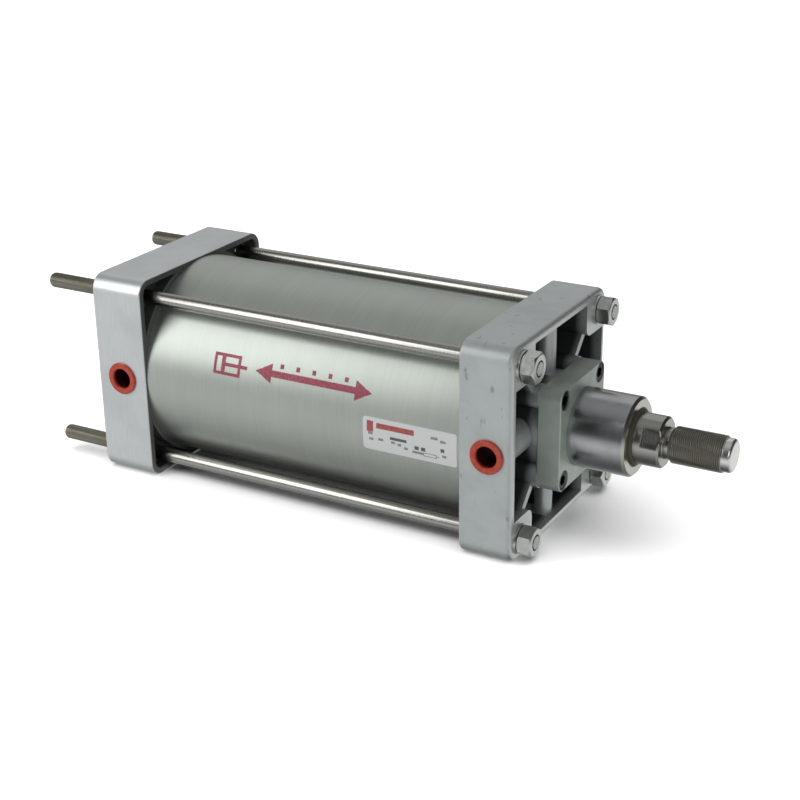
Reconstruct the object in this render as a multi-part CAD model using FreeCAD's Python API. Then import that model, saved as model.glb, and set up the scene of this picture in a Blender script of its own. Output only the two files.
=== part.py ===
import FreeCAD, Part
import math
import os

V = FreeCAD.Vector
X, Y, Z = V(1, 0, 0), V(0, 1, 0), V(0, 0, 1)

# Double-acting pneumatic cylinder, 200 mm bore, 300 mm stroke, rod retracted.
# Row frame: origin at the centre of the rear mounting face, +X along the rod
# towards its threaded end, +Z up, the air ports on the -Y side. Millimetres.

# main sizes
BORE_R = 100.0
STROKE = 300.0
CAP_SIDE = 216.0
CAP_CORNER_R = 16.0
REAR_CAP_LENGTH = 61.0
FRONT_CAP_LENGTH = 54.0
BARREL_GAP = 364.0
TUBE_R = 106.0
EDGE_BREAK = 1.5

# stations along X
REAR_FACE = 0.0
REAR_INNER = REAR_FACE + REAR_CAP_LENGTH
FRONT_INNER = REAR_INNER + BARREL_GAP
FRONT_FACE = FRONT_INNER + FRONT_CAP_LENGTH

# tube seats and spigots in the caps
SEAT_DEPTH = 3.0
SEAT_R = TUBE_R + 0.2
SPIGOT_R = BORE_R - 0.1
SPIGOT_REACH = 8.0
TUBE_RING_SECTION_R = 1.8
TUBE_RING_GROOVE_W = 5.0
REAR_STOP = REAR_INNER + SPIGOT_REACH
FRONT_STOP = FRONT_INNER - SPIGOT_REACH

# tie rods and their nuts
TIE_PITCH = 175.0
TIE_THREAD_R = 8.0
TIE_SEATED_R = 7.9
TIE_SHANK_R = 7.35
TIE_CLEAR_R = 8.75
STUD_LENGTH = 70.0
REAR_THREAD_END = 50.0
NUT_ACROSS_FLATS = 27.0
NUT_HEIGHT = 14.3
WASHER_R = 15.0
WASHER_THICKNESS = 3.0
TIE_END = FRONT_FACE + WASHER_THICKNESS + NUT_HEIGHT + 0.5

# front cap casting
RIM_ROUND = 5.0
WALL = 8.0
FLOOR_THICKNESS = 18.0
HUB_R = 50.0
PAD_Y_INNER = 60.0
PAD_Z_INNER = 66.0
PAD_CORNER_R = 10.0
RIB_THICKNESS = 7.0
RIB_RECESS = 6.0
NEEDLE_BOSS_R = 9.0
NEEDLE_FROM_FRONT = 15.4
PORT_BOSS_R = 18.0
FRONT_PORT_FROM_FACE = 25.0

# rear cap corner pockets
POCKET_DEPTH = 15.0
POCKET_WALL = 6.0
POCKET_CLEAR_R = 110.0

# G3/4 ports and their caps
PORT_R = 13.22
PORT_DEPTH = 20.0
PORT_PASSAGE_R = 9.0
REAR_PORT_X = 30.5
FRONT_PORT_X = FRONT_FACE - FRONT_PORT_FROM_FACE
PLUG_R = 13.1
PLUG_FLANGE_R = 17.0
PLUG_FLANGE = 2.4
PLUG_DEPTH = 18.0
PLUG_HOLE_R = 10.8
PLUG_FLOOR = 1.8

# end cushioning
CUSHION_BORE_R = 36.0
REAR_CUSHION_FLOOR = 15.0
SLEEVE_R = 33.0
SLEEVE_LENGTH = 30.0
CUSHION_SEAL_W = 7.0
CUSHION_SEAL_GROOVE_R = 40.0
CUSHION_SEAL_IN = 4.0
NEEDLE_R = 5.0
NEEDLE_STEM_R = 3.5
NEEDLE_SEAT_R = 2.0
NEEDLE_HEAD_Z = -106.0
NEEDLE_STEP_Z = -72.0
NEEDLE_SEAT_Z = -41.0
NEEDLE_PASSAGE_Z = -43.5
REAR_NEEDLE_X = 40.0
FRONT_NEEDLE_X = FRONT_FACE - NEEDLE_FROM_FRONT
NEEDLE_RING_Z = -98.0
NEEDLE_RING_SECTION_R = 0.7

# rod gland
GLAND_SIDE = 104.0
GLAND_CORNER_R = 10.0
GLAND_THICKNESS = 23.5
GLAND_BOSS_R = 39.0
GLAND_BOSS_END = FRONT_FACE + 81.2
GLAND_SPIGOT = 12.0
GLAND_SPIGOT_R = CUSHION_BORE_R - 0.05
GLAND_BORE_R = 26.5
GLAND_RING_SECTION_R = 1.5
GLAND_RING_X = FRONT_FACE - 6.0
SCREW_PITCH = 82.0
SCREW_R = 6.0
SCREW_CLEAR_R = 6.75
SCREW_HEAD_R = 9.0
SCREW_HEAD = 12.0
SCREW_SUNK_R = 10.0
SCREW_SUNK = 13.0
SCREW_LENGTH = 33.0
SCREW_BOSS_R = 12.0

# rod and what slides on it
ROD_R = 25.0
RUN_CLEARANCE = 0.05
BUSH_WALL = 3.0
BUSH_LENGTH = 34.0
ROD_SEAL_X = FRONT_FACE + 44.0
ROD_SEAL_W = 10.0
ROD_SEAL_R = 32.0
WIPER_W = 7.0
WIPER_X = GLAND_BOSS_END - WIPER_W
WIPER_R = 29.0
WIPER_LIP = 3.0
SHOULDER_X = FRONT_FACE + 109.5
FLATS_ACROSS = 46.0
FLATS_LENGTH = 18.0
FLATS_TILT = 26.0
NECK_R = 15.2
NECK_LENGTH = 6.0
THREAD_R = 18.0
THREAD_END = FRONT_FACE + 168.0
TIP_R = 16.4
TIP_END = FRONT_FACE + 175.5
TIP_ROUND = 3.5
TAIL_R = 18.0

# piston
END_GAP = 1.0
PISTON_WIDTH = FRONT_STOP - REAR_STOP - STROKE - 2 * END_GAP
PISTON_R = 99.4
PISTON_REAR = REAR_STOP + END_GAP
PISTON_FRONT = PISTON_REAR + PISTON_WIDTH
PISTON_SEAL_GROOVE_R = 90.0
PISTON_SEAL_W = 7.0
PISTON_SEAL_IN = 3.0
GUIDE_W = 14.0
GUIDE_GROOVE_R = 96.5
GUIDE_SPLIT = 3.0
TAIL_RING_SECTION_R = 1.3
PISTON_NUT_AF = 50.0
PISTON_NUT_HEIGHT = 14.0
TAIL_END = PISTON_REAR - SLEEVE_LENGTH - PISTON_NUT_HEIGHT - 2.0
ROD_STEP_X = PISTON_FRONT + SLEEVE_LENGTH

# type plate sticker on the tube
LABEL_X = (FRONT_FACE - 158.5, FRONT_FACE - 57.0)
LABEL_ANGLES = (-10.6, 7.9)
LABEL_THICKNESS = 0.3
LABEL_CORNER_R = 3.0


def cylinder(x0, x1, r, y=0.0, z=0.0):
    return Part.makeCylinder(r, x1 - x0, V(x0, y, z), X)


def ring(x0, x1, r_out, r_in, y=0.0, z=0.0):
    return cylinder(x0, x1, r_out, y, z).cut(cylinder(x0 - 1, x1 + 1, r_in, y, z))


def turned(points):
    """A solid of revolution about X from (x, radius) points."""
    wire = Part.makePolygon([V(x, 0, r) for x, r in points] + [V(points[0][0], 0, points[0][1])])
    return Part.Face(wire).revolve(V(0, 0, 0), X, 360)


def o_ring(x, r_mean, section_r):
    return Part.makeTorus(r_mean, section_r, V(x, 0, 0), X)


def box(x0, x1, y0, y1, z0, z1):
    return Part.makeBox(x1 - x0, y1 - y0, z1 - z0, V(x0, y0, z0))


def rounded_square(x0, x1, side, corner_r):
    """A square block across X with its four long edges rounded."""
    half = side / 2
    block = box(x0, x1, -half, half, -half, half)
    return block.makeFillet(corner_r, edges_along_x(block))


def edges_along_x(shape):
    found = []
    for edge in shape.Edges:
        a, b = edge.Vertexes[0].Point, edge.Vertexes[-1].Point
        if abs(a.y - b.y) < 1e-6 and abs(a.z - b.z) < 1e-6:
            found.append(edge)
    return found


def edges_at_x(shape, x):
    return [e for e in shape.Edges if all(abs(v.Point.x - x) < 1e-6 for v in e.Vertexes)]


def hexagon(x0, x1, across_flats, y=0.0, z=0.0, turn=0.0):
    r = across_flats / math.sqrt(3)
    points = []
    for i in range(7):
        a = math.radians(60 * i + turn)
        points.append(V(x0, y + r * math.cos(a), z + r * math.sin(a)))
    return Part.Face(Part.makePolygon(points)).extrude(V(x1 - x0, 0, 0))


def corners(pitch):
    half = pitch / 2
    return [(y, z) for y in (-half, half) for z in (-half, half)]


def fused(solids):
    return solids[0].multiFuse(solids[1:]).removeSplitter()


def hex_nut(x0, height, across_flats, hole_r, y=0.0, z=0.0, turn=0.0):
    """A hexagon nut with both faces chamfered and its thread at the major radius."""
    corner_r = across_flats / math.sqrt(3)
    drop = (corner_r - across_flats * 0.475) * math.tan(math.radians(30))
    face_r = across_flats * 0.475
    profile = [(x0, 0), (x0, face_r), (x0 + drop, corner_r + 0.01),
               (x0 + height - drop, corner_r + 0.01), (x0 + height, face_r), (x0 + height, 0)]
    blank = turned(profile)
    blank.translate(V(0, y, z))
    nut = hexagon(x0, x0 + height, across_flats, y, z, turn).common(blank)
    return nut.cut(cylinder(x0 - 1, x0 + height + 1, hole_r, y, z))


def tube_spigot(face_x, stop_x):
    """The register that enters the tube, with its O-ring groove."""
    low, high = sorted((face_x, stop_x))
    middle = (face_x + stop_x) / 2
    groove_r = BORE_R - 2 * TUBE_RING_SECTION_R
    groove = ring(middle - TUBE_RING_GROOVE_W / 2, middle + TUBE_RING_GROOVE_W / 2, BORE_R + 1, groove_r)
    return cylinder(low, high, SPIGOT_R).cut(groove)


def tube_seat(inner_x, outward):
    """The annular recess that the end of the tube stands in."""
    low, high = sorted((inner_x, inner_x + outward * SEAT_DEPTH))
    return ring(low, high, SEAT_R, SPIGOT_R)


def port_cuts(x):
    """A G3/4 port from the -Y side and its passage to the cushion bore."""
    side = -CAP_SIDE / 2
    thread = Part.makeCylinder(PORT_R, PORT_DEPTH + 1, V(x, side - 1, 0), Y)
    passage = Part.makeCylinder(PORT_PASSAGE_R, -side - CUSHION_BORE_R + 4, V(x, side, 0), Y)
    return thread.fuse(passage)


def needle_cuts(x, stop_x):
    """The bore, seat and air passage of a cushion adjusting screw in the underside."""
    bottom = -CAP_SIDE / 2 - 1
    bore = Part.makeCylinder(NEEDLE_R, NEEDLE_STEP_Z + 2 - bottom, V(x, 0, bottom), Z)
    stem = Part.makeCylinder(NEEDLE_STEM_R + 0.3, NEEDLE_SEAT_Z - bottom, V(x, 0, bottom), Z)
    seat = Part.makeCylinder(NEEDLE_SEAT_R, -CUSHION_BORE_R + 3 - bottom, V(x, 0, bottom), Z)
    low, high = sorted((x, stop_x + math.copysign(1, stop_x - x)))
    passage = cylinder(low, high, NEEDLE_SEAT_R, 0, NEEDLE_PASSAGE_Z)
    return fused([bore, stem, seat, passage])


def cushion_groove(stop_x, outward):
    near = stop_x + outward * CUSHION_SEAL_IN
    low, high = sorted((near, near + outward * CUSHION_SEAL_W))
    return ring(low, high, CUSHION_SEAL_GROOVE_R, CUSHION_BORE_R - 1)


def rear_end_cap():
    block = rounded_square(REAR_FACE, REAR_INNER, CAP_SIDE, CAP_CORNER_R)
    block = block.makeFillet(EDGE_BREAK, edges_at_x(block, REAR_FACE) + edges_at_x(block, REAR_INNER))
    pocket = rounded_square(REAR_INNER - POCKET_DEPTH, REAR_INNER + 1, CAP_SIDE - 2 * POCKET_WALL,
                            CAP_CORNER_R - POCKET_WALL)
    block = block.cut(pocket.cut(cylinder(0, REAR_INNER + 2, POCKET_CLEAR_R)))
    block = block.cut(tube_seat(REAR_INNER, -1))
    block = block.fuse(tube_spigot(REAR_INNER - SEAT_DEPTH, REAR_STOP))
    cuts = [cylinder(REAR_CUSHION_FLOOR, REAR_STOP + 1, CUSHION_BORE_R), port_cuts(REAR_PORT_X),
            needle_cuts(REAR_NEEDLE_X, REAR_STOP), cushion_groove(REAR_STOP, -1)]
    for y, z in corners(TIE_PITCH):
        cuts.append(cylinder(-1, REAR_INNER + 1, TIE_THREAD_R, y, z))
    return block.cut(fused(cuts))


def front_cap_core():
    """Everything that stands in the hollow front of the casting."""
    floor = FRONT_INNER + FLOOR_THICKNESS
    inside = rounded_square(floor - 1, FRONT_FACE, CAP_SIDE - 2 * WALL + 1, CAP_CORNER_R - WALL)
    reach = CAP_SIDE / 2
    solids = [cylinder(floor - 1, FRONT_FACE, HUB_R)]
    for y, z in corners(SCREW_PITCH):
        solids.append(cylinder(floor - 1, FRONT_FACE, SCREW_BOSS_R, y, z))
    for y_sign in (-1, 1):
        for z_sign in (-1, 1):
            solids.append(corner_pad(floor - 1, y_sign, z_sign))
    rib_reach = reach * 1.3
    for turn in (45, 135):
        rib = box(floor - 1, FRONT_FACE - RIB_RECESS, -rib_reach, rib_reach,
                  -RIB_THICKNESS / 2, RIB_THICKNESS / 2)
        rib.rotate(V(0, 0, 0), X, turn)
        solids.append(rib)
    solids.append(Part.makeCylinder(NEEDLE_BOSS_R, 2 * reach, V(FRONT_NEEDLE_X, 0, -reach), Z))
    solids.append(Part.makeCylinder(PORT_BOSS_R, reach, V(FRONT_PORT_X, -reach, 0), Y))
    return fused(solids).common(inside)


def corner_pad(x0, y_sign, z_sign):
    """The raised pad that a tie rod nut bears on."""
    reach = CAP_SIDE / 2
    y0, y1 = sorted((y_sign * PAD_Y_INNER, y_sign * reach))
    z0, z1 = sorted((z_sign * PAD_Z_INNER, z_sign * reach))
    pad = box(x0, FRONT_FACE, y0, y1, z0, z1)
    inner = []
    for edge in edges_along_x(pad):
        at = edge.Vertexes[0].Point
        if abs(at.y) < PAD_Y_INNER + 1 and abs(at.z) < PAD_Z_INNER + 1:
            inner.append(edge)
    return pad.makeFillet(PAD_CORNER_R, inner)


def front_end_cap():
    block = rounded_square(FRONT_INNER, FRONT_FACE, CAP_SIDE, CAP_CORNER_R)
    block = block.makeFillet(RIM_ROUND, edges_at_x(block, FRONT_FACE))
    block = block.makeFillet(EDGE_BREAK, edges_at_x(block, FRONT_INNER))
    hollow = rounded_square(FRONT_INNER + FLOOR_THICKNESS, FRONT_FACE + 1, CAP_SIDE - 2 * WALL,
                            CAP_CORNER_R - WALL)
    block = block.cut(hollow).fuse(front_cap_core())
    block = block.cut(tube_seat(FRONT_INNER, 1))
    block = block.fuse(tube_spigot(FRONT_INNER + SEAT_DEPTH, FRONT_STOP)).removeSplitter()
    cuts = [cylinder(FRONT_STOP - 1, FRONT_FACE + 1, CUSHION_BORE_R), port_cuts(FRONT_PORT_X),
            needle_cuts(FRONT_NEEDLE_X, FRONT_STOP), cushion_groove(FRONT_STOP, 1)]
    for y, z in corners(TIE_PITCH):
        cuts.append(cylinder(FRONT_INNER - 1, FRONT_FACE + 1, TIE_CLEAR_R, y, z))
    for y, z in corners(SCREW_PITCH):
        cuts.append(cylinder(FRONT_FACE - SCREW_LENGTH + 8, FRONT_FACE + 1, SCREW_R, y, z))
    return block.cut(fused(cuts))


def cylinder_tube():
    return ring(REAR_INNER - SEAT_DEPTH, FRONT_INNER + SEAT_DEPTH, TUBE_R, BORE_R)


def tie_rods():
    chamfer = 1.5
    start, end = -STUD_LENGTH, TIE_END
    front_thread = FRONT_FACE - 12
    profile = [(start, 0), (start, TIE_THREAD_R - chamfer), (start + chamfer, TIE_THREAD_R),
               (REAR_FACE, TIE_THREAD_R), (REAR_FACE, TIE_SEATED_R),
               (REAR_THREAD_END, TIE_SEATED_R), (REAR_THREAD_END + 1, TIE_SHANK_R),
               (front_thread - 1, TIE_SHANK_R), (front_thread, TIE_THREAD_R),
               (end - chamfer, TIE_THREAD_R), (end, TIE_THREAD_R - chamfer), (end, 0)]
    solids = []
    for y, z in corners(TIE_PITCH):
        rod = turned(profile)
        rod.translate(V(0, y, z))
        solids.append(rod)
    return Part.makeCompound(solids)


def tie_rod_washers():
    x0, x1 = FRONT_FACE, FRONT_FACE + WASHER_THICKNESS
    hole_r = TIE_CLEAR_R - 0.25
    return Part.makeCompound([ring(x0, x1, WASHER_R, hole_r, y, z) for y, z in corners(TIE_PITCH)])


def tie_rod_nuts():
    turns = (25, 6, 57, 37)
    x0 = FRONT_FACE + WASHER_THICKNESS
    nuts = []
    for (y, z), turn in zip(corners(TIE_PITCH), turns):
        nuts.append(hex_nut(x0, NUT_HEIGHT, NUT_ACROSS_FLATS, TIE_THREAD_R, y, z, turn))
    return Part.makeCompound(nuts)


def gland_housing():
    plate_end = FRONT_FACE + GLAND_THICKNESS
    plate = rounded_square(FRONT_FACE, plate_end, GLAND_SIDE, GLAND_CORNER_R)
    plate = plate.makeChamfer(0.8, edges_at_x(plate, plate_end) + edges_at_x(plate, FRONT_FACE))
    bevel = 2.5
    boss = turned([(plate_end - 1, 0), (plate_end - 1, GLAND_BOSS_R),
                   (GLAND_BOSS_END - bevel, GLAND_BOSS_R), (GLAND_BOSS_END, GLAND_BOSS_R - bevel),
                   (GLAND_BOSS_END, 0)])
    spigot_end = FRONT_FACE - GLAND_SPIGOT
    spigot = cylinder(spigot_end, FRONT_FACE + 1, GLAND_SPIGOT_R)
    ring_w = 4.0
    groove = ring(GLAND_RING_X - ring_w / 2, GLAND_RING_X + ring_w / 2, CUSHION_BORE_R + 1,
                  CUSHION_BORE_R - 2 * GLAND_RING_SECTION_R)
    cuts = [cylinder(spigot_end - 1, GLAND_BOSS_END + 1, GLAND_BORE_R),
            cylinder(spigot_end - 1, spigot_end + BUSH_LENGTH, ROD_R + RUN_CLEARANCE + BUSH_WALL),
            cylinder(ROD_SEAL_X, ROD_SEAL_X + ROD_SEAL_W, ROD_SEAL_R),
            cylinder(WIPER_X, GLAND_BOSS_END + 1, WIPER_R)]
    for y, z in corners(SCREW_PITCH):
        cuts.append(cylinder(FRONT_FACE - 1, plate_end + 1, SCREW_CLEAR_R, y, z))
        cuts.append(cylinder(plate_end - SCREW_SUNK, plate_end + 1, SCREW_SUNK_R, y, z))
    return fused([plate, boss, spigot]).cut(groove).cut(fused(cuts))


def gland_screws():
    seat = FRONT_FACE + GLAND_THICKNESS - SCREW_SUNK
    screws = []
    for y, z in corners(SCREW_PITCH):
        head = cylinder(seat, seat + SCREW_HEAD, SCREW_HEAD_R, y, z)
        head = head.makeChamfer(0.8, edges_at_x(head, seat + SCREW_HEAD))
        shank = cylinder(seat - SCREW_LENGTH, seat + 1, SCREW_R, y, z)
        shank = shank.makeChamfer(1.0, edges_at_x(shank, seat - SCREW_LENGTH))
        socket = hexagon(seat + SCREW_HEAD - 6, seat + SCREW_HEAD + 1, 10.0, y, z, 15)
        screws.append(head.fuse(shank).removeSplitter().cut(socket))
    return Part.makeCompound(screws)


def lip_seal(x0, width, r_in, r_out, lip_forward):
    """A U section seal: a solid heel and two lips with a V between them."""
    mid = (r_in + r_out) / 2
    spread = (r_out - r_in) * 0.16
    back, front = (x0, x0 + width) if lip_forward else (x0 + width, x0)
    root = back + (front - back) * 0.45
    return turned([(back, r_in), (front, r_in), (front, mid - spread), (root, mid),
                   (front, mid + spread), (front, r_out), (back, r_out)])


def rod_bush():
    x0 = FRONT_FACE - GLAND_SPIGOT
    inner = ROD_R + RUN_CLEARANCE
    return ring(x0, x0 + BUSH_LENGTH, inner + BUSH_WALL, inner)


def rod_seal():
    return lip_seal(ROD_SEAL_X, ROD_SEAL_W, ROD_R + RUN_CLEARANCE, ROD_SEAL_R, False)


def rod_wiper():
    """A ring flush with the nose of the gland, its wiping lip standing proud."""
    inner = ROD_R + RUN_CLEARANCE
    tip = GLAND_BOSS_END + WIPER_LIP
    return turned([(WIPER_X, inner + 1.2), (GLAND_BOSS_END, inner + 0.8), (tip - 1, inner), (tip, inner),
                   (tip, inner + 0.6), (tip - 0.8, inner + 1.9), (GLAND_BOSS_END, inner + 2.5),
                   (GLAND_BOSS_END, WIPER_R), (WIPER_X, WIPER_R)])


def gland_o_ring():
    return o_ring(GLAND_RING_X, CUSHION_BORE_R - GLAND_RING_SECTION_R, GLAND_RING_SECTION_R)


def tube_o_ring(face_x, stop_x):
    return o_ring((face_x + stop_x) / 2, BORE_R - TUBE_RING_SECTION_R, TUBE_RING_SECTION_R)


def cushion_seal(stop_x, outward):
    x0 = min(stop_x + outward * CUSHION_SEAL_IN, stop_x + outward * (CUSHION_SEAL_IN + CUSHION_SEAL_W))
    return lip_seal(x0, CUSHION_SEAL_W, SLEEVE_R + 0.1, CUSHION_SEAL_GROOVE_R, outward > 0)


def needle_screw(x):
    """A cushion adjusting screw, its hexagon socket facing down."""
    tip = NEEDLE_SEAT_Z - 2
    rows = [(NEEDLE_HEAD_Z, 0), (NEEDLE_HEAD_Z, NEEDLE_R - 0.7), (NEEDLE_HEAD_Z + 0.7, NEEDLE_R - 0.05)]
    groove = NEEDLE_RING_SECTION_R * 2
    rows += [(NEEDLE_RING_Z - 1, NEEDLE_R - 0.05), (NEEDLE_RING_Z - 1, NEEDLE_R - groove),
             (NEEDLE_RING_Z + 1, NEEDLE_R - groove), (NEEDLE_RING_Z + 1, NEEDLE_R - 0.05)]
    rows += [(NEEDLE_STEP_Z, NEEDLE_R - 0.05), (NEEDLE_STEP_Z, NEEDLE_STEM_R - 0.8),
             (tip - 5, NEEDLE_STEM_R - 0.8), (tip, 0.8), (tip, 0)]
    screw = turned(rows).cut(hexagon(NEEDLE_HEAD_Z - 1, NEEDLE_HEAD_Z + 5, 5.0))
    screw.rotate(V(0, 0, 0), Y, -90)
    screw.translate(V(x, 0, 0))
    return screw


def needle_o_ring(x):
    r_mean = NEEDLE_R - NEEDLE_RING_SECTION_R
    return Part.makeTorus(r_mean, NEEDLE_RING_SECTION_R - 0.03, V(x, 0, NEEDLE_RING_Z), Z)


def piston_rod():
    profile = [(TAIL_END, 0), (TAIL_END, TAIL_R - 2), (TAIL_END + 2, TAIL_R), (ROD_STEP_X, TAIL_R),
               (ROD_STEP_X, ROD_R), (SHOULDER_X - 2, ROD_R), (SHOULDER_X, ROD_R - 2)]
    neck_end = SHOULDER_X + NECK_LENGTH
    profile += [(SHOULDER_X, NECK_R), (neck_end, NECK_R), (neck_end + THREAD_R - NECK_R, THREAD_R),
                (THREAD_END - (THREAD_R - TIP_R), THREAD_R), (THREAD_END, TIP_R), (TIP_END, TIP_R),
                (TIP_END, 0)]
    rod = turned(profile)
    rod = rod.makeFillet(TIP_ROUND, edges_at_x(rod, TIP_END))
    for sign in (-1, 1):
        y0, y1 = sorted((sign * FLATS_ACROSS / 2, sign * (ROD_R + 1)))
        flat = box(SHOULDER_X - FLATS_LENGTH, SHOULDER_X + 0.5, y0, y1, -ROD_R, ROD_R)
        flat.rotate(V(0, 0, 0), X, -FLATS_TILT)
        rod = rod.cut(flat)
    return rod


def piston():
    body = ring(PISTON_REAR, PISTON_FRONT, PISTON_R, TAIL_R)
    outer = [e for e in edges_at_x(body, PISTON_REAR) + edges_at_x(body, PISTON_FRONT)
             if e.Curve.Radius > PISTON_R - 1]
    body = body.makeChamfer(1.5, outer)
    middle = (PISTON_REAR + PISTON_FRONT) / 2
    rear_groove = PISTON_REAR + PISTON_SEAL_IN
    front_groove = PISTON_FRONT - PISTON_SEAL_IN - PISTON_SEAL_W
    grooves = []
    for x in (rear_groove, front_groove):
        grooves.append(ring(x, x + PISTON_SEAL_W, BORE_R, PISTON_SEAL_GROOVE_R))
    grooves.append(ring(middle - GUIDE_W / 2, middle + GUIDE_W / 2, BORE_R, GUIDE_GROOVE_R))
    grooves.append(ring(middle - 2, middle + 2, TAIL_R + 2 * TAIL_RING_SECTION_R, TAIL_R - 1))
    for groove in grooves:
        body = body.cut(groove)
    return body


def piston_seal(x0, lip_forward):
    r_in, r_out = PISTON_SEAL_GROOVE_R + 0.1, BORE_R - RUN_CLEARANCE
    return lip_seal(x0 + 0.1, PISTON_SEAL_W - 0.2, r_in, r_out, lip_forward)


def piston_guide_ring():
    middle = (PISTON_REAR + PISTON_FRONT) / 2
    x0, x1 = middle - GUIDE_W / 2 + 0.1, middle + GUIDE_W / 2 - 0.1
    band = ring(x0, x1, BORE_R - RUN_CLEARANCE, GUIDE_GROOVE_R + RUN_CLEARANCE)
    split = box(x0 - 1, x1 + 1, -GUIDE_SPLIT / 2, GUIDE_SPLIT / 2, 0, BORE_R + 1)
    return band.cut(split)


def piston_o_ring():
    middle = (PISTON_REAR + PISTON_FRONT) / 2
    return o_ring(middle, TAIL_R + TAIL_RING_SECTION_R, TAIL_RING_SECTION_R)


def cushion_sleeve(x0, taper_forward):
    x1 = x0 + SLEEVE_LENGTH
    taper = 4.0
    if taper_forward:
        rows = [(x0, SLEEVE_R), (x1 - taper, SLEEVE_R), (x1, SLEEVE_R - 2)]
    else:
        rows = [(x0, SLEEVE_R - 2), (x0 + taper, SLEEVE_R), (x1, SLEEVE_R)]
    return turned([(x0, TAIL_R)] + rows + [(x1, TAIL_R)])


def piston_nut():
    x1 = PISTON_REAR - SLEEVE_LENGTH
    return hex_nut(x1 - PISTON_NUT_HEIGHT, PISTON_NUT_HEIGHT, PISTON_NUT_AF, TAIL_R)


def port_plug(x):
    """A push-in dust plug: a flanged cup, open to the outside."""
    side = CAP_SIDE / 2
    rows = [(side + PLUG_FLANGE, PLUG_HOLE_R + 0.8), (side + PLUG_FLANGE, PLUG_FLANGE_R - 0.8),
            (side + PLUG_FLANGE - 0.8, PLUG_FLANGE_R), (side, PLUG_FLANGE_R), (side, PLUG_R),
            (side - PLUG_DEPTH + 1.5, PLUG_R), (side - PLUG_DEPTH, PLUG_R - 1.0), (side - PLUG_DEPTH, 0),
            (side - PLUG_DEPTH + PLUG_FLOOR, 0), (side - PLUG_DEPTH + PLUG_FLOOR, PLUG_HOLE_R - 0.4),
            (side + PLUG_FLANGE - 0.8, PLUG_HOLE_R)]
    plug = turned(rows)
    plug.rotate(V(0, 0, 0), Z, -90)
    plug.translate(V(x, 0, 0))
    return plug


def type_label():
    """A thin sticker that follows the tube, seen from the -Y side."""
    x0, x1 = LABEL_X
    skin = ring(x0, x1, TUBE_R + LABEL_THICKNESS, TUBE_R)
    low, high = (TUBE_R * math.sin(math.radians(a)) for a in LABEL_ANGLES)
    blank = box(x0, x1, -TUBE_R - 2, -TUBE_R / 2, low, high)
    long_edges = []
    for edge in blank.Edges:
        a, b = edge.Vertexes[0].Point, edge.Vertexes[-1].Point
        if abs(a.x - b.x) < 1e-6 and abs(a.z - b.z) < 1e-6:
            long_edges.append(edge)
    return skin.common(blank.makeFillet(LABEL_CORNER_R, long_edges))


rear_seal_x = PISTON_REAR + PISTON_SEAL_IN
front_seal_x = PISTON_FRONT - PISTON_SEAL_IN - PISTON_SEAL_W
nodes = {
    "rear_end_cap": rear_end_cap(),
    "front_end_cap": front_end_cap(),
    "cylinder_tube": cylinder_tube(),
    "tube_o_ring_rear": tube_o_ring(REAR_INNER - SEAT_DEPTH, REAR_STOP),
    "tube_o_ring_front": tube_o_ring(FRONT_INNER + SEAT_DEPTH, FRONT_STOP),
    "tie_rods": tie_rods(),
    "tie_rod_washers": tie_rod_washers(),
    "tie_rod_nuts": tie_rod_nuts(),
    "gland_housing": gland_housing(),
    "gland_screws": gland_screws(),
    "gland_o_ring": gland_o_ring(),
    "rod_bush": rod_bush(),
    "rod_seal": rod_seal(),
    "rod_wiper": rod_wiper(),
    "cushion_seal_rear": cushion_seal(REAR_STOP, -1),
    "cushion_seal_front": cushion_seal(FRONT_STOP, 1),
    "cushion_screw_rear": needle_screw(REAR_NEEDLE_X),
    "cushion_screw_front": needle_screw(FRONT_NEEDLE_X),
    "cushion_screw_o_ring_rear": needle_o_ring(REAR_NEEDLE_X),
    "cushion_screw_o_ring_front": needle_o_ring(FRONT_NEEDLE_X),
    "piston_rod": piston_rod(),
    "piston": piston(),
    "piston_seal_rear": piston_seal(rear_seal_x, False),
    "piston_seal_front": piston_seal(front_seal_x, True),
    "piston_guide_ring": piston_guide_ring(),
    "piston_o_ring": piston_o_ring(),
    "cushion_sleeve_rear": cushion_sleeve(PISTON_REAR - SLEEVE_LENGTH, False),
    "cushion_sleeve_front": cushion_sleeve(PISTON_FRONT, True),
    "piston_nut": piston_nut(),
    "port_plug_rear": port_plug(REAR_PORT_X),
    "port_plug_front": port_plug(FRONT_PORT_X),
    "type_label": type_label(),
}

os.makedirs("parts", exist_ok=True)
for name, shape in nodes.items():
    if len(shape.Solids) == 1:
        shape = shape.Solids[0]
    shape.exportStep("parts/" + name + ".step")
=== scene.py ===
import bpy, bmesh, math
from mathutils import Vector, Matrix


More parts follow.
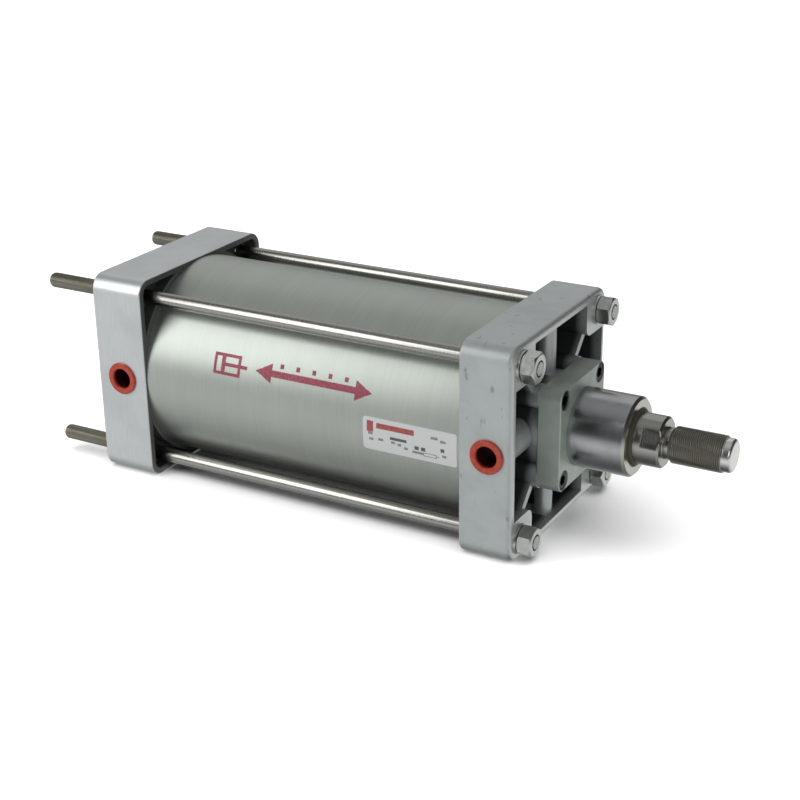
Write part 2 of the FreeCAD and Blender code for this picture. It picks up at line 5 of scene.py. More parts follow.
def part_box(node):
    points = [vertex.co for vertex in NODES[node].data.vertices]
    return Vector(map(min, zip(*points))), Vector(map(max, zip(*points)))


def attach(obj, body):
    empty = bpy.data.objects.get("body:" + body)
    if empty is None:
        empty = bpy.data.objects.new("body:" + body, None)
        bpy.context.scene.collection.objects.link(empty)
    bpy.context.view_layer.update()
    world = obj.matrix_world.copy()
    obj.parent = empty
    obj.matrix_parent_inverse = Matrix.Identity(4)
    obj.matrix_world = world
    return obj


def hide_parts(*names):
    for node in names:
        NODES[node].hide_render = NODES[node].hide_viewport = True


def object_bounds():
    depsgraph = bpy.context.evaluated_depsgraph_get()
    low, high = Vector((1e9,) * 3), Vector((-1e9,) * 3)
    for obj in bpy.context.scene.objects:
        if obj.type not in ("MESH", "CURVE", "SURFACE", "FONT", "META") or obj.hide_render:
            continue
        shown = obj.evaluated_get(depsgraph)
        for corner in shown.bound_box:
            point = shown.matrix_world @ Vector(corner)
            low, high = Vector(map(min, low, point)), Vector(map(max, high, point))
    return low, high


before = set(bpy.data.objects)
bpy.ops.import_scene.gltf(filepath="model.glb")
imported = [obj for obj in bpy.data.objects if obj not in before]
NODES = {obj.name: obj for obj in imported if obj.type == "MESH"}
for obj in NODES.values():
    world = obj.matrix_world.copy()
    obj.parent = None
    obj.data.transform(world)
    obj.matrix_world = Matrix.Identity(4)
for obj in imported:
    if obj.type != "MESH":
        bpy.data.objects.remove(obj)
CAD_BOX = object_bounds()
MM = 0.001

# boxes, stations and sizes of the CAD model, in metres
REAR_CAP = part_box("rear_end_cap")
FRONT_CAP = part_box("front_end_cap")
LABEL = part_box("type_label")
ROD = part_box("piston_rod")
TIE_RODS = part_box("tie_rods")
CAP_HALF = REAR_CAP[1][2]
FRONT_FACE = FRONT_CAP[1][0]
REAR_CAP_INNER = 0.061
TIE_ROD_HALF_PITCH = 0.0875
ROD_SHOULDER = FRONT_FACE + 0.1095
ROD_NECK_END = FRONT_FACE + 0.1155
ROD_THREAD_END = FRONT_FACE + 0.1678
TUBE_R = 0.106
LABEL_SKIN = 0.0003

# every thread has the same pitch, and the depth of a 60 degree outside thread
THREAD_PITCH = 2.0 * MM
THREAD_DEPTH = 0.613 * THREAD_PITCH


# ---------------------------------------------------------------- materials

def fill_ramp(node, stops):
    """Gives a colour ramp its stops, each a position and an (r, g, b) colour."""
    elements = node.color_ramp.elements
    while len(elements) < len(stops):
        elements.new(0.5)
    for element, (at, colour) in zip(elements, stops):
        element.position = at
        element.color = (*colour, 1)


class Shader:
    """Adds nodes to one new material and links them."""

    def __init__(self, name):
        self.material = bpy.data.materials.new(name)
        self.material.use_nodes = True
        self.tree = self.material.node_tree
        self.bsdf = self.tree.nodes["Principled BSDF"]

    def node(self, kind, **values):
        """A new node with these properties."""
        made = self.tree.nodes.new(kind)
        for key, value in values.items():
            setattr(made, key, value)
        return made

    def feed(self, socket, value):
        """Links an output to a socket, or sets the socket to a number or an (r, g, b) colour."""
        if isinstance(value, bpy.types.NodeSocket):
            self.tree.links.new(value, socket)
        elif isinstance(value, tuple):
            socket.default_value = (*value, 1)
        else:
            socket.default_value = value

    def noise(self, scale, detail, rough=0.5, stretch=(1, 1, 1)):
        """Noise in the piece's own coordinates, which are in metres, times the stretch."""
        mapping = self.node("ShaderNodeMapping")
        mapping.inputs["Scale"].default_value = stretch
        self.feed(mapping.inputs["Vector"], self.node("ShaderNodeTexCoord").outputs["Object"])
        made = self.node("ShaderNodeTexNoise")
        self.feed(made.inputs["Vector"], mapping.outputs["Vector"])
        self.feed(made.inputs["Scale"], scale)
        self.feed(made.inputs["Detail"], detail)
        self.feed(made.inputs["Roughness"], rough)
        return made.outputs["Fac"]

    def ramp(self, fac, *stops):
        """A colour between the stops, by fac."""
        made = self.node("ShaderNodeValToRGB")
        self.feed(made.inputs["Fac"], fac)
        fill_ramp(made, stops)
        return made.outputs["Color"]

    def span(self, fac, low, high, to_low=0.0, to_high=1.0):
        """A smooth step from to_low, where fac is low, to to_high, where it is high."""
        made = self.node("ShaderNodeMapRange", interpolation_type="SMOOTHSTEP")
        for socket, value in zip(list(made.inputs)[:5], (fac, low, high, to_low, to_high)):
            self.feed(socket, value)
        return made.outputs["Result"]

    def math(self, operation, a, b=0.0):
        """One math node."""
        made = self.node("ShaderNodeMath", operation=operation)
        self.feed(made.inputs[0], a)
        self.feed(made.inputs[1], b)
        return made.outputs[0]

    def mix(self, fac, a, b):
        """Colour a where fac is 0 and colour b where it is 1."""
        made = self.node("ShaderNodeMix", data_type="RGBA")
        self.feed(made.inputs["Factor"], fac)
        self.feed(made.inputs[6], a)
        self.feed(made.inputs[7], b)
        return made.outputs[2]

    def split(self, coordinates):
        """The x, y and z of one kind of texture coordinates."""
        made = self.node("ShaderNodeSeparateXYZ")
        self.feed(made.inputs[0], self.node("ShaderNodeTexCoord").outputs[coordinates])
        return made.outputs

    def axes(self):
        """Where a point lies in the piece's own coordinates, in metres."""
        return self.split("Object")

    def normal(self):
        """Which way the surface faces at that point."""
        return self.split("Normal")

    def bump(self, height, strength, distance, after=None):
        """Small relief by height, on top of another bump where one is given."""
        made = self.node("ShaderNodeBump")
        self.feed(made.inputs["Strength"], strength)
        self.feed(made.inputs["Distance"], distance)
        self.feed(made.inputs["Height"], height)
        if after is not None:
            self.feed(made.inputs["Normal"], after)
        return made.outputs["Normal"]

    def finish(self, colour, roughness, metallic, normal=None):
        """Sets the surface and returns the material."""
        self.feed(self.bsdf.inputs["Base Color"], colour)
        self.feed(self.bsdf.inputs["Roughness"], roughness)
        self.feed(self.bsdf.inputs["Metallic"], metallic)
        if normal is not None:
            self.feed(self.bsdf.inputs["Normal"], normal)
        return self.material


def hollow_shade_mask(s):
    """Painted shade: 1 in the front cap's hollowed front, less on the bosses that cross it, and 0
    elsewhere.
    """
    wall, hollow_depth = 0.0076, 0.0365
    port_boss_half, port_boss_end, screw_boss_half = 0.0185, -0.05, 0.0092
    x, y, z = s.axes()
    side, up = s.math("ABSOLUTE", y), s.math("ABSOLUTE", z)
    depth = s.math("SUBTRACT", FRONT_FACE, x)
    walls = s.math("MULTIPLY", s.span(depth, 0.001, 0.014), s.span(s.normal()[0], 0.05, 0.5, 1, 0.05))
    floor = s.span(depth, 0.027, 0.034)
    within = s.math("LESS_THAN", s.math("MAXIMUM", side, up), CAP_HALF - wall)
    mask = s.math("MULTIPLY", s.math("MAXIMUM", walls, floor), within)
    mask = s.math("MULTIPLY", mask, s.math("LESS_THAN", depth, hollow_depth))
    port_boss = s.math("MULTIPLY", s.math("LESS_THAN", up, port_boss_half),
                       s.math("LESS_THAN", y, port_boss_end))
    screw_boss = s.math("LESS_THAN", side, screw_boss_half)
    bosses = s.math("MAXIMUM", s.math("MULTIPLY", port_boss, 0.9), s.math("MULTIPLY", screw_boss, 0.7))
    return s.math("MULTIPLY", mask, s.math("SUBTRACT", 1.0, bosses))


def cast_metal():
    """Tumbled cast aluminium: mottled, finely pitted, with a pale machined rim, and painted shade that
    makes its hollowed front dark.
    """
    rim_depth = 0.0045
    s = Shader("cast_aluminium")
    mottle = s.noise(60, 6, 0.6)
    cloud = s.noise(14, 3, 0.5, (1, 1, 1.5))
    spots = s.noise(95, 2, 0.4, (1.4, 1, 0.7))
    grain = s.noise(1100, 3, 0.6)
    colour = s.mix(s.span(mottle, 0.3, 0.7), (0.53, 0.57, 0.567), (0.60, 0.65, 0.645))
    colour = s.mix(s.span(cloud, 0.42, 0.62, 0, 0.5), colour, (0.645, 0.69, 0.69))
    colour = s.mix(s.span(spots, 0.66, 0.76, 0, 0.55), colour, (0.21, 0.225, 0.22))
    depth = s.math("SUBTRACT", FRONT_FACE, s.axes()[0])
    rim = s.math("MULTIPLY", s.span(s.normal()[0], 0.5, 0.95), s.span(depth, rim_depth, 0.002))
    colour = s.mix(s.math("MULTIPLY", rim, 0.85), colour, (0.80, 0.84, 0.81))
    hollow_shade = hollow_shade_mask(s)
    # painted shade: the hollowed front goes nearly black, darker with depth
    colour = s.mix(s.math("MULTIPLY", hollow_shade, 0.97), colour, (0.012, 0.014, 0.014))
    rough = s.math("ADD", s.math("MULTIPLY", mottle, 0.2), 0.35)
    metal = s.math("MULTIPLY", s.math("SUBTRACT", 1.0, hollow_shade), 0.55)
    normal = s.bump(grain, 0.22, 0.0003, s.bump(mottle, 0.12, 0.0008))
    return s.finish(colour, rough, metal, normal)


def pocket_shade_mask(s):
    """Painted shade: 1 on the walls of the rear cap's corner pockets, and 0.9 on what faces the tube."""
    pocket_depth, wall = 0.0155, 0.0055
    x, y, z = s.axes()
    depth = s.math("SUBTRACT", REAR_CAP_INNER, x)
    not_below = s.span(depth, pocket_depth + 0.0005, pocket_depth + 0.0003)
    faces = s.math("MULTIPLY", s.span(s.normal()[0], 0.5, 0.95), not_below)
    walls = s.math("MULTIPLY", s.span(depth, 0.0, 0.004),
                   s.span(depth, pocket_depth, pocket_depth - 0.0004))
    off_axis = s.math("MAXIMUM", s.math("ABSOLUTE", y), s.math("ABSOLUTE", z))
    walls = s.math("MULTIPLY", walls, s.math("LESS_THAN", off_axis, CAP_HALF - wall))
    return s.math("MAXIMUM", s.math("MULTIPLY", faces, 0.9), walls)


def machined_cap():
    """The smooth rear cap: fine brushing outside; its side towards the tube and its corner pockets are
    duller and darkened by painted shade.
    """
    s = Shader("machined_aluminium")
    brushed = s.noise(900, 2, 0.5, (1.6, 1, 0.06))
    cloud = s.noise(22, 4, 0.5)
    colour = s.mix(s.span(cloud, 0.3, 0.7), (0.66, 0.70, 0.70), (0.74, 0.78, 0.78))
    colour = s.mix(s.math("MULTIPLY", s.span(brushed, 0.35, 0.65), 0.15), colour, (0.45, 0.47, 0.475))
    inner_shade = pocket_shade_mask(s)
    # painted shade: the side towards the tube and the corner pockets go nearly black
    colour = s.mix(inner_shade, colour, (0.085, 0.092, 0.085))
    dull = s.math("ADD", 0.30, s.math("MULTIPLY", inner_shade, 0.2))
    rough = s.math("ADD", s.math("MULTIPLY", brushed, 0.16), dull)
    metal = s.math("SUBTRACT", 0.55, s.math("MULTIPLY", inner_shade, 0.4))
    return s.finish(colour, rough, metal, s.bump(brushed, 0.06, 0.0002))


def brushed_tube():
    """The barrel: fine brushing that runs round it, with a dull greenish cast."""
    s = Shader("brushed_tube")
    lines = s.noise(1400, 3, 0.6, (1.0, 0.012, 0.012))
    bands = s.noise(60, 3, 0.5, (1.0, 0.03, 0.03))
    cloud = s.noise(10, 4, 0.5)
    colour = s.mix(s.span(lines, 0.3, 0.7), (0.475, 0.517, 0.47), (0.53, 0.573, 0.524))
    colour = s.mix(s.math("MULTIPLY", s.span(bands, 0.35, 0.65), 0.18), colour, (0.60, 0.645, 0.59))
    colour = s.mix(s.math("MULTIPLY", s.span(cloud, 0.4, 0.7), 0.2), colour, (0.42, 0.45, 0.42))
    rough = s.math("ADD", s.math("MULTIPLY", lines, 0.18), 0.33)
    return s.finish(colour, rough, 0.7, s.bump(lines, 0.05, 0.0002))


def polished_steel(name, colour, rough, thread=(0, 0), worn=(0.2, 0.19, 0.16), stain=(0.38, 0.33, 0.26),
                   tip_highlight=None):
    """Bar with fine tool lines and a stain, worn and duller along the thread, and past the thread a paler
    colour where one is given: a painted highlight on the rod's tip.
    """
    s = Shader(name)
    lines = s.noise(2200, 2, 0.5, (1.0, 0.02, 0.02))
    cloud = s.noise(70, 4, 0.6)
    tint = s.mix(s.math("MULTIPLY", s.span(cloud, 0.45, 0.75), 0.35), colour, stain)
    x = s.axes()[0]
    threaded = s.math("MULTIPLY", s.math("GREATER_THAN", x, thread[0]), s.math("LESS_THAN", x, thread[1]))
    tint = s.mix(s.math("MULTIPLY", threaded, 0.85), tint, worn)
    if tip_highlight is not None:
        # painted highlight: a paler colour past the thread's end, used on the rod's tip
        tint = s.mix(s.math("GREATER_THAN", x, thread[1]), tint, tip_highlight)
    dull = s.math("ADD", rough, s.math("MULTIPLY", threaded, 0.15))
    roughness = s.math("ADD", s.math("MULTIPLY", lines, 0.08), dull)
    return s.finish(tint, roughness, 1.0, s.bump(lines, 0.015, 0.0001))


def zinc_plate():
    """Zinc plating on nuts, washers and screws: cloudy, in three close greys."""
    s = Shader("zinc_plate")
    cloud = s.noise(180, 5, 0.65)
    fine = s.noise(1500, 2, 0.5)
    colour = s.ramp(cloud, (0.25, (0.46, 0.49, 0.47)), (0.6, (0.62, 0.65, 0.62)),
                    (0.85, (0.70, 0.71, 0.66)))
    rough = s.math("ADD", s.math("MULTIPLY", cloud, 0.25), 0.20)
    return s.finish(colour, rough, 1.0, s.bump(fine, 0.08, 0.0001))


def turned_gland():
    """Turned aluminium: a smooth nose with a slightly paler bevelled end, and a satin plate behind it."""
    nose_r, plate_front = 0.0396, FRONT_FACE + 0.0238
    s = Shader("turned_aluminium")
    rings = s.noise(1500, 2, 0.5, (1.0, 0.01, 0.01))
    x, y, z = s.axes()
    radius = s.math("SQRT", s.math("ADD", s.math("MULTIPLY", y, y), s.math("MULTIPLY", z, z)))
    nose = s.math("MULTIPLY", s.math("LESS_THAN", radius, nose_r), s.math("GREATER_THAN", x, plate_front))
    end = s.math("MULTIPLY", nose, s.span(s.normal()[0], 0.4, 0.6))
    cloud = s.noise(40, 4, 0.5)
    plate = s.mix(s.span(cloud, 0.3, 0.7), (0.53, 0.59, 0.54), (0.62, 0.69, 0.63))
    bright = s.mix(s.span(cloud, 0.3, 0.7), (0.40, 0.42, 0.43), (0.48, 0.50, 0.51))
    colour = s.mix(end, s.mix(nose, plate, bright), (0.50, 0.51, 0.46))
    rough = s.mix(nose, (0.48, 0.48, 0.48), (0.22, 0.22, 0.22))
    rough = s.math("ADD", rough, s.math("MULTIPLY", rings, 0.06))
    metal = s.math("ADD", 0.45, s.math("MULTIPLY", nose, 0.52))
    return s.finish(colour, rough, metal, s.bump(rings, 0.03, 0.0001))


def moulded_red():
    """Red dust plug: slightly uneven moulded plastic, with painted shade that darkens it down within the
    cup.
    """
    s = Shader("red_plug_plastic")
    cloud = s.noise(260, 3, 0.5)
    colour = s.mix(s.span(cloud, 0.3, 0.7), (0.54, 0.055, 0.028), (0.66, 0.085, 0.045))
    depth = s.math("ADD", s.axes()[1], CAP_HALF)
    inside_shade = s.span(depth, -0.0018, 0.003)
    # painted shade: nearly black down within the cup
    colour = s.mix(s.math("MULTIPLY", inside_shade, 0.96), colour, (0.02, 0.006, 0.008))
    return s.finish(colour, 0.34, 0.0, s.bump(cloud, 0.08, 0.0003))


def rubber():
    """Black seal rubber."""
    s = Shader("seal_rubber")
    fine = s.noise(900, 4, 0.6)
    colour = s.mix(fine, (0.012, 0.012, 0.012), (0.035, 0.035, 0.036))
    rough = s.math("ADD", s.math("MULTIPLY", fine, 0.2), 0.5)
    return s.finish(colour, rough, 0.0, s.bump(fine, 0.2, 0.0002))


def plain_plastic(name, a, b, rough):
    """Plastic with a fine grain between two close colours."""
    s = Shader(name)
    fine = s.noise(600, 3, 0.5)
    roughness = s.math("ADD", s.math("MULTIPLY", fine, 0.15), rough)
    return s.finish(s.mix(fine, a, b), roughness, 0.0, s.bump(fine, 0.06, 0.0002))


def bronze():
    """Porous bearing bronze."""
    s = Shader("sintered_bronze")
    pores = s.noise(1600, 3, 0.7)
    colour = s.ramp(pores, (0.3, (0.20, 0.12, 0.05)), (0.55, (0.50, 0.34, 0.15)))
    return s.finish(colour, 0.42, 1.0, s.bump(pores, 0.2, 0.0002))


def ink(name, colour, wear):
    """Screen printed ink that has lost a little colour in places."""
    s = Shader(name)
    cloud = s.noise(420, 4, 0.6)
    faded = tuple(c + wear for c in colour)
    return s.finish(s.mix(s.span(cloud, 0.4, 0.7), colour, faded), 0.48, 0.1, s.bump(cloud, 0.03, 0.0001))


def matt_grey(name, dark, pale, rough):
    """A matt surface of the stage, with a faint cloud in it."""
    s = Shader(name)
    return s.finish(s.mix(s.noise(3, 2), (dark, dark, dark), (pale, pale, pale)), rough, 0.0)


# ---------------------------------------------------------------- turned pieces

def add_object(name, data):
    """A new object in the scene."""
    made = bpy.data.objects.new(name, data)
    bpy.context.scene.collection.objects.link(made)
    return made


def mesh_object(name, build, material, sharp_deg=32):
    """A mesh object from build(bm), with smooth faces and sharp creases."""
    bm = bmesh.new()
    build(bm)
    bmesh.ops.remove_doubles(bm, verts=bm.verts, dist=0.002 * MM)
    bmesh.ops.recalc_face_normals(bm, faces=bm.faces)
    data = bpy.data.meshes.new(name)
    bm.to_mesh(data)
    bm.free()
    data.shade_smooth()
    data.set_sharp_from_angle(angle=math.radians(sharp_deg))
    data.materials.append(material)
    return add_object(name, data)


def lathe(bm, rows, angles, centre=(0.0, 0.0)):
    """Skins rows, each an x and a radius as a function of angle, and closes both ends."""
    rings = []
    for x, r_of in rows:
        ring = []
        for a in angles:
            r = r_of(a)
            ring.append(bm.verts.new((x, centre[0] + r * math.cos(a), centre[1] + r * math.sin(a))))
        rings.append(ring)
    count = len(angles)
    for low, high in zip(rings, rings[1:]):
        for i in range(count):
            j = (i + 1) % count
            bm.faces.new((low[i], low[j], high[j], high[i]))
    bm.faces.new(rings[0][::-1])
    bm.faces.new(rings[-1])


def round_row(x, r):
    """A lathe row with the same radius all round."""
    return x, lambda a: r


def thread_rows(start, end, crest_r, start_r, end_r):
    """Rows along a 60 degree helical thread that fades to a plain radius at both ends."""
    rows_per_turn = 8
    crest_flat, flank_width = 0.125, 0.625
    count = int((end - start) / THREAD_PITCH * rows_per_turn)
    rows = []
    for k in range(count + 1):
        x = start + (end - start) * k / count
        lead = min((x - start) / THREAD_PITCH, 1.0)
        tail = min((end - x) / THREAD_PITCH, 1.0)

        def r_of(a, x=x, lead=lead, tail=tail):
            phase = ((x - start) / THREAD_PITCH - a / math.tau) % 1.0
            flank = (abs(phase - 0.5) * 2 - crest_flat) / flank_width
            r = crest_r - THREAD_DEPTH * min(max(flank, 0.0), 1.0)
            r = start_r + (r - start_r) * lead
            return end_r + (r - end_r) * tail

        rows.append((x, r_of))
    return rows


def even_angles(count):
    """Angles spread evenly round a circle."""
    return [math.tau * i / count for i in range(count)]


def tie_rod_bars(steel):
    """Four polished bars with rolled threads at both ends, in place of the plain CAD bars."""
    start, end = TIE_RODS[0][0], TIE_RODS[1][0]
    crest, shank, end_r = 7.98 * MM, 7.35 * MM, 6.3 * MM
    root = crest - THREAD_DEPTH
    rear_thread_end, front_thread_start = 0.048, FRONT_FACE - 0.012
    half = TIE_ROD_HALF_PITCH
    bars = []
    for i, (y, z) in enumerate((y, z) for y in (-half, half) for z in (-half, half)):
        def build(bm, y=y, z=z):
            rows = [round_row(start, end_r)]
            rows += thread_rows(start + 0.6 * MM, rear_thread_end, crest, root, shank)
            rows += thread_rows(front_thread_start, end - 0.5 * MM, crest, shank, root)
            rows.append(round_row(end, end_r))
            lathe(bm, rows, even_angles(40), (y, z))
        bar = mesh_object("tie_rod_%d" % (i + 1), build, steel, 40)
        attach(bar, "barrel")
        bars.append(bar)
    for bar in bars:
        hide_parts("tie_rods")


def flat_angles(radius, half_flat, tilt, count):
    """Even angles plus the edges of two opposite flats, whose normals lie at the tilt angle."""
    edge = math.acos(half_flat / radius)
    edges = [(tilt + turn + side * edge) % math.tau for turn in (0, math.pi) for side in (-1, 1)]
    keep = [a for a in even_angles(count) if all(abs(a - e) > 0.02 for e in edges)]
    return sorted(keep + edges)


def rod_bar(steel):
    """The piston rod with its flats, neck and fine rod end thread."""
    radius, half_flat, tilt = 25.0 * MM, 23.0 * MM, math.radians(154)
    tail_r, neck_r, crest = 18.0 * MM, 15.2 * MM, 17.98 * MM
    tip_r, tip_bend, chamfer = 16.3 * MM, 3.5 * MM, 2.0 * MM
    tail, step, end = ROD[0][0], 0.146, ROD[1][0]
    flats_start = ROD_SHOULDER - 18.0 * MM

    def flatted(a, r=radius):
        side = abs(math.cos(a - tilt))
        return min(r, half_flat / side) if side > 1e-6 else r

    def build(bm):
        rows = [round_row(tail, tail_r - chamfer), round_row(tail + chamfer, tail_r)]
        rows += [round_row(step, tail_r), round_row(step, radius), round_row(flats_start, radius)]
        rows += [(flats_start + 0.1 * MM, flatted), (ROD_SHOULDER - chamfer, flatted)]
        rows += [(ROD_SHOULDER - 0.3 * chamfer, lambda a: flatted(a, radius - 0.7 * chamfer)),
                 (ROD_SHOULDER, lambda a: flatted(a, radius - chamfer))]
        rows += [round_row(ROD_SHOULDER, neck_r + 0.6 * MM), round_row(ROD_SHOULDER + 0.8 * MM, neck_r)]
        rows.append(round_row(ROD_NECK_END, neck_r))
        rows += thread_rows(ROD_NECK_END + 0.4 * MM, ROD_THREAD_END, crest, neck_r + 0.4 * MM, tip_r)
        for i in range(7):
            a = math.radians(15 * i)
            rows.append(round_row(end - tip_bend + tip_bend * math.sin(a),
                                  tip_r - tip_bend + tip_bend * math.cos(a)))
        lathe(bm, rows, flat_angles(radius, half_flat, tilt, 96))

    bar = mesh_object("rod_bar", build, steel, 30)
    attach(bar, "rod_and_piston")
    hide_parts("piston_rod")


# ---------------------------------------------------------------- print on the tube and the sticker

class Print:
    """Flat shapes in millimetres (x along the tube, s round it) laid on a cylinder."""

    def __init__(self, radius):
        self.radius = radius
        self.faces = []

    def point(self, x, s):
        """A place on the cylinder, in metres."""
        a = s * MM / self.radius
        return (x * MM, -self.radius * math.cos(a), self.radius * math.sin(a))

    def quad(self, corners, steps):
        """Four corners, cut into strips that run from the first edge to the third."""
        (x0, s0), (x1, s1), (x2, s2), (x3, s3) = corners
        for i in range(steps):
            t, u = i / steps, (i + 1) / steps
            self.faces.append([self.point(x0 + (x3 - x0) * t, s0 + (s3 - s0) * t),
                               self.point(x1 + (x2 - x1) * t, s1 + (s2 - s1) * t),
                               self.point(x1 + (x2 - x1) * u, s1 + (s2 - s1) * u),
                               self.point(x0 + (x3 - x0) * u, s0 + (s3 - s0) * u)])

    def bar(self, x0, x1, s0, s1):
        """A filled rectangle, in strips about 1.5 mm wide."""
        self.quad([(x0, s0), (x1, s0), (x1, s1), (x0, s1)], max(1, int(abs(s1 - s0) / 1.5)))

    def outline(self, x0, x1, s0, s1, line):
        """A rectangle's outline."""
        self.bar(x0, x1, s1 - line, s1)
        self.bar(x0, x1, s0, s0 + line)
        self.bar(x0, x0 + line, s0 + line, s1 - line)
        self.bar(x1 - line, x1, s0 + line, s1 - line)

    def arrow_head(self, tip_x, base_x, s, half):
        """A triangle whose tip is a hair wide, so that no strip is without area."""
        tip_x = base_x + (tip_x - base_x) * 0.999
        self.quad([(base_x, s - half), (tip_x, s - 0.01), (tip_x, s + 0.01), (base_x, s + half)], 10)

    def lay(self, name, material):
        """Makes the shapes one piece on the barrel."""
        def build(bm):
            for corners in self.faces:
                bm.faces.new([bm.verts.new(p) for p in corners])
        made = mesh_object(name, build, material)
        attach(made, "barrel")


def tube_mark(red):
    """A generic stroke arrow with ticks and a plain cylinder symbol, in faded red."""
    mark = Print(TUBE_R + 0.08 * MM)
    middle = 36.5
    symbol = 144
    mark.outline(symbol, symbol + 32, middle - 11, middle + 11, 3.2)
    mark.bar(symbol + 9, symbol + 13.5, middle - 7.8, middle + 7.8)
    mark.bar(symbol + 13.5, symbol + 40, middle - 1.8, middle + 1.8)
    start, end, head, head_half = 194, 328, 19, 10.0
    mark.bar(start + head - 1, end - head + 1, middle - 3.4, middle + 3.4)
    mark.arrow_head(start, start + head, middle, head_half)
    mark.arrow_head(end, end - head, middle, head_half)
    ticks, tick_pitch, tick_width = 5, 18.5, 4.2
    for i in range(ticks):
        x = start + 28 + i * tick_pitch
        mark.bar(x, x + tick_width, middle + 6.2, middle + 11.0)
    mark.lay("stroke_arrow_print", red)


def sticker_print(red, grey, dark):
    """The sticker's layout: a red heading bar, and grey bars where small print would be."""
    radius = TUBE_R + LABEL_SKIN + 0.06 * MM
    left = LABEL[0][0] / MM
    heading = Print(radius)
    heading.bar(left + 4.5, left + 11.5, -0.1, 10.9)
    heading.bar(left + 15, left + 56, 4.4, 9.8)
    heading.lay("sticker_heading", red)
    small = Print(radius)
    for x, length, s in ((6.0, 5.0, -3.0), (7.0, 4.5, -9.0), (17.0, 5.5, -8.0), (31, 4.6, -8.5),
                         (38, 4.0, -9.5), (45, 4.2, -12.0), (74, 7.5, 5.0), (84, 6.0, 3.0),
                         (54, 12, -13.5), (86, 4.5, -11.8)):
        small.bar(left + x, left + x + length, s, s + 2.6)
    small.outline(left + 66, left + 80, -14.5, -10.5, 0.7)
    small.bar(left + 80, left + 83, -12.8, -12.2)
    small.lay("sticker_small_bars", grey)
    strong = Print(radius)
    strong.bar(left + 30, left + 48, -4.6, -1.6)
    for x in (56.5, 63.5):
        strong.bar(left + x, left + x + 4.6, -9.4, -5.6)
    strong.bar(left + 84.5, left + 88.5, -6.4, -2.8)
    strong.lay("sticker_strong_bars", dark)


# ---------------------------------------------------------------- put it together

def paint(material, *names):
    """Gives CAD nodes a material."""
    for name in names:
        slots = NODES[name].data.materials
        slots.clear()
        slots.append(material)


def paint_metals():
    """The CAD nodes of metal, and the threaded bars that stand in for two of them."""
    steel = polished_steel("polished_bar", (0.60, 0.585, 0.54), 0.17)
    tie_bar = polished_steel("tie_bar", (0.385, 0.385, 0.36), 0.22, thread=(TIE_RODS[0][0], 0.0),
                             worn=(0.44, 0.42, 0.35))
    # the rod's pale tip colour is a painted highlight
    ground_rod = polished_steel("ground_rod", (0.40, 0.40, 0.37), 0.22,
                                thread=(ROD_NECK_END, ROD_THREAD_END - MM),
                                worn=(0.33, 0.32, 0.28), tip_highlight=(0.80, 0.80, 0.77))
    paint(cast_metal(), "front_end_cap")
    paint(machined_cap(), "rear_end_cap", "piston")
    paint(brushed_tube(), "cylinder_tube")
    paint(turned_gland(), "gland_housing")
    paint(zinc_plate(), "tie_rod_washers", "tie_rod_nuts", "piston_nut", "cushion_screw_rear",
          "cushion_screw_front")
    paint(polished_steel("blackened_screws", (0.05, 0.05, 0.055), 0.38, stain=(0.03, 0.03, 0.03)),
          "gland_screws")
    paint(bronze(), "rod_bush")
    paint(steel, "tie_rods", "cushion_sleeve_rear", "cushion_sleeve_front")
    paint(ground_rod, "piston_rod")
    tie_rod_bars(tie_bar)
    rod_bar(ground_rod)


def paint_plastics():
    """The CAD nodes of plastic and rubber."""
    paint(moulded_red(), "port_plug_rear", "port_plug_front")
    paint(plain_plastic("sticker_film", (0.82, 0.84, 0.84), (0.88, 0.90, 0.90), 0.36), "type_label")
    paint(plain_plastic("guide_band", (0.07, 0.13, 0.10), (0.10, 0.17, 0.13), 0.42), "piston_guide_ring")
    paint(plain_plastic("amber_wiper", (0.075, 0.067, 0.042), (0.12, 0.107, 0.068), 0.42), "rod_wiper")
    paint(rubber(), "tube_o_ring_rear", "tube_o_ring_front", "gland_o_ring", "rod_seal",
          "cushion_seal_rear", "cushion_seal_front", "cushion_screw_o_ring_rear",
          "cushion_screw_o_ring_front", "piston_seal_rear", "piston_seal_front", "piston_o_ring")


def print_all():
    """The red mark on the tube and the sticker's print."""
    tube_mark(ink("faded_red_ink", (0.40, 0.065, 0.10), 0.06))
    sticker_print(ink("sticker_red_ink", (0.48, 0.10, 0.09), 0.06),
                  ink("sticker_grey_ink", (0.30, 0.31, 0.31), 0.10),
                  ink("sticker_dark_ink", (0.12, 0.14, 0.13), 0.06))


# ---------------------------------------------------------------- stage, light and camera

def level_sheet(name, x0, x1, half, height, material):
    """A level rectangle that reaches as far to one side of the rod axis as to the other."""
    data = bpy.data.meshes.new(name)
    data.from_pydata([(x0, -half, height), (x1, -half, height), (x1, half, height), (x0, half, height)],
                     [], [(0, 1, 2, 3)])
    data.materials.append(material)
    return add_object(name, data)


def stage():
    """The pale floor under the caps, left out of reflections and bounced light."""
    reach = 300.0
    ground = level_sheet("floor", -reach, reach, reach, CAD_BOX[0][2],
                         matt_grey("studio_floor", 0.90, 0.93, 0.9))
    ground.visible_glossy = False
    ground.visible_diffuse = False
    floor_light(ground)


def shadow_card():
    """A dark card that paints the floor's shadow right under the barrel, seen only in reflections and
    bounced light.
    """
    half, lift = 0.082, 2.0 * MM
    card = level_sheet("shadow_card", REAR_CAP_INNER, FRONT_CAP[0][0], half, CAD_BOX[0][2] + lift,
                       matt_grey("shadow_card", 0.02, 0.03, 1.0))
    card.visible_camera = False
    card.visible_shadow = False


def floor_light(ground):
    """A wide, soft light from above that only the floor takes, so that it stays white."""
    data = bpy.data.lights.new("floor_light", "SUN")
    data.energy = 3.6
    data.angle = math.radians(80)
    lamp = add_object("floor_light", data)
    lamp.rotation_euler = (math.radians(12), math.radians(8), 0)
    receivers = bpy.data.collections.new("floor_light_receivers")
    receivers.objects.link(ground)
    lamp.light_linking.receiver_collection = receivers


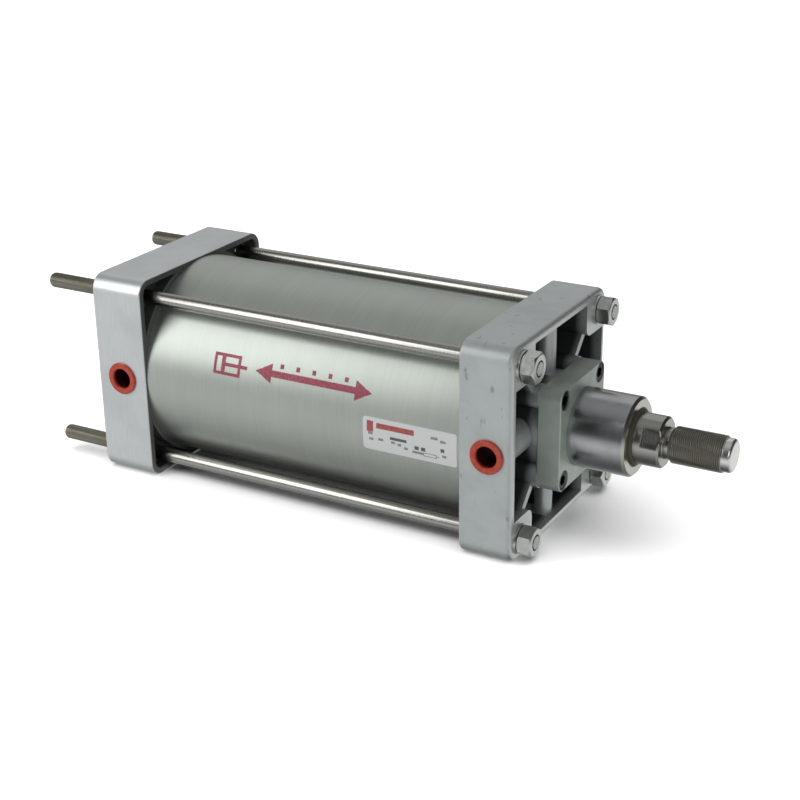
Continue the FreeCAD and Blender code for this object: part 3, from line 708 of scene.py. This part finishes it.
def world_light():
    """Soft light that changes with height, behind a backdrop that is plain white."""
    brightness_by_height = ((0.0, 0.06), (0.06, 0.22), (0.14, 0.48), (0.30, 0.88), (0.42, 0.62),
                            (0.52, 0.08), (0.74, 0.02), (0.88, 0.12), (1.0, 0.48))
    world = bpy.data.worlds.new("studio")
    bpy.context.scene.world = world
    world.use_nodes = True
    nodes, links = world.node_tree.nodes, world.node_tree.links
    coords = nodes.new("ShaderNodeTexCoord")
    split = nodes.new("ShaderNodeSeparateXYZ")
    height = nodes.new("ShaderNodeMath")
    height.operation = "MULTIPLY_ADD"
    height.inputs[1].default_value = 0.5
    height.inputs[2].default_value = 0.5
    ramp = nodes.new("ShaderNodeValToRGB")
    fill_ramp(ramp, [(at, (grey, grey, grey)) for at, grey in brightness_by_height])
    lighting = nodes["Background"]
    lighting.inputs["Strength"].default_value = 1.0
    backdrop = nodes.new("ShaderNodeBackground")
    backdrop.inputs["Color"].default_value = (1, 1, 1, 1)
    light_path = nodes.new("ShaderNodeLightPath")
    lighting_or_seen = nodes.new("ShaderNodeMixShader")
    links.new(coords.outputs["Generated"], split.inputs[0])
    links.new(split.outputs[2], height.inputs[0])
    links.new(height.outputs[0], ramp.inputs[0])
    links.new(ramp.outputs[0], lighting.inputs["Color"])
    links.new(light_path.outputs["Is Camera Ray"], lighting_or_seen.inputs[0])
    links.new(lighting.outputs[0], lighting_or_seen.inputs[1])
    links.new(backdrop.outputs[0], lighting_or_seen.inputs[2])
    links.new(lighting_or_seen.outputs[0], nodes["World Output"].inputs["Surface"])


def area(name, place, target, size, power):
    """A rectangular lamp that faces its target."""
    data = bpy.data.lights.new(name, "AREA")
    data.shape = "RECTANGLE"
    data.size, data.size_y = size
    data.energy = power
    lamp = add_object(name, data)
    lamp.location = place
    lamp.rotation_euler = (Vector(target) - Vector(place)).to_track_quat("-Z", "Y").to_euler()


def lamps():
    """The main lamp at the left, a wide one behind and a fill at the right."""
    area("key", place=(-1.02, -1.40, 0.95), target=(0.2, 0, 0), size=(0.95, 1.7), power=19)
    area("back", place=(-0.45, 1.45, 1.15), target=(0.25, 0, 0), size=(2.9, 1.8), power=9)
    area("right_fill", place=(1.9, -1.6, 1.0), target=(0.4, 0, 0), size=(1.4, 1.2), power=7)


def camera():
    """About 30 degrees round to the rod side and 22 degrees above."""
    azimuth, elevation, roll = (math.radians(v) for v in (29.686, 22.371, -0.731))
    distance, target = 1.59395, Vector((0.30676, -0.00923, -0.00745))
    back = Vector((math.sin(azimuth) * math.cos(elevation), -math.cos(azimuth) * math.cos(elevation),
                   math.sin(elevation)))
    level = (-back).cross(Vector((0, 0, 1))).normalized()
    above = level.cross(-back)
    right = math.cos(roll) * level + math.sin(roll) * above
    up = -math.sin(roll) * level + math.cos(roll) * above
    data = bpy.data.cameras.new("camera")
    data.sensor_width = 36.0
    data.lens = 70.664
    seen = add_object("camera", data)
    seen.matrix_world = Matrix((
        (right.x, up.x, back.x, target.x + back.x * distance),
        (right.y, up.y, back.y, target.y + back.y * distance),
        (right.z, up.z, back.z, target.z + back.z * distance),
        (0, 0, 0, 1)))
    bpy.context.scene.camera = seen


paint_metals()
paint_plastics()
print_all()
stage()
shadow_card()
world_light()
lamps()
camera()
bpy.context.scene.view_settings.view_transform = "Standard"
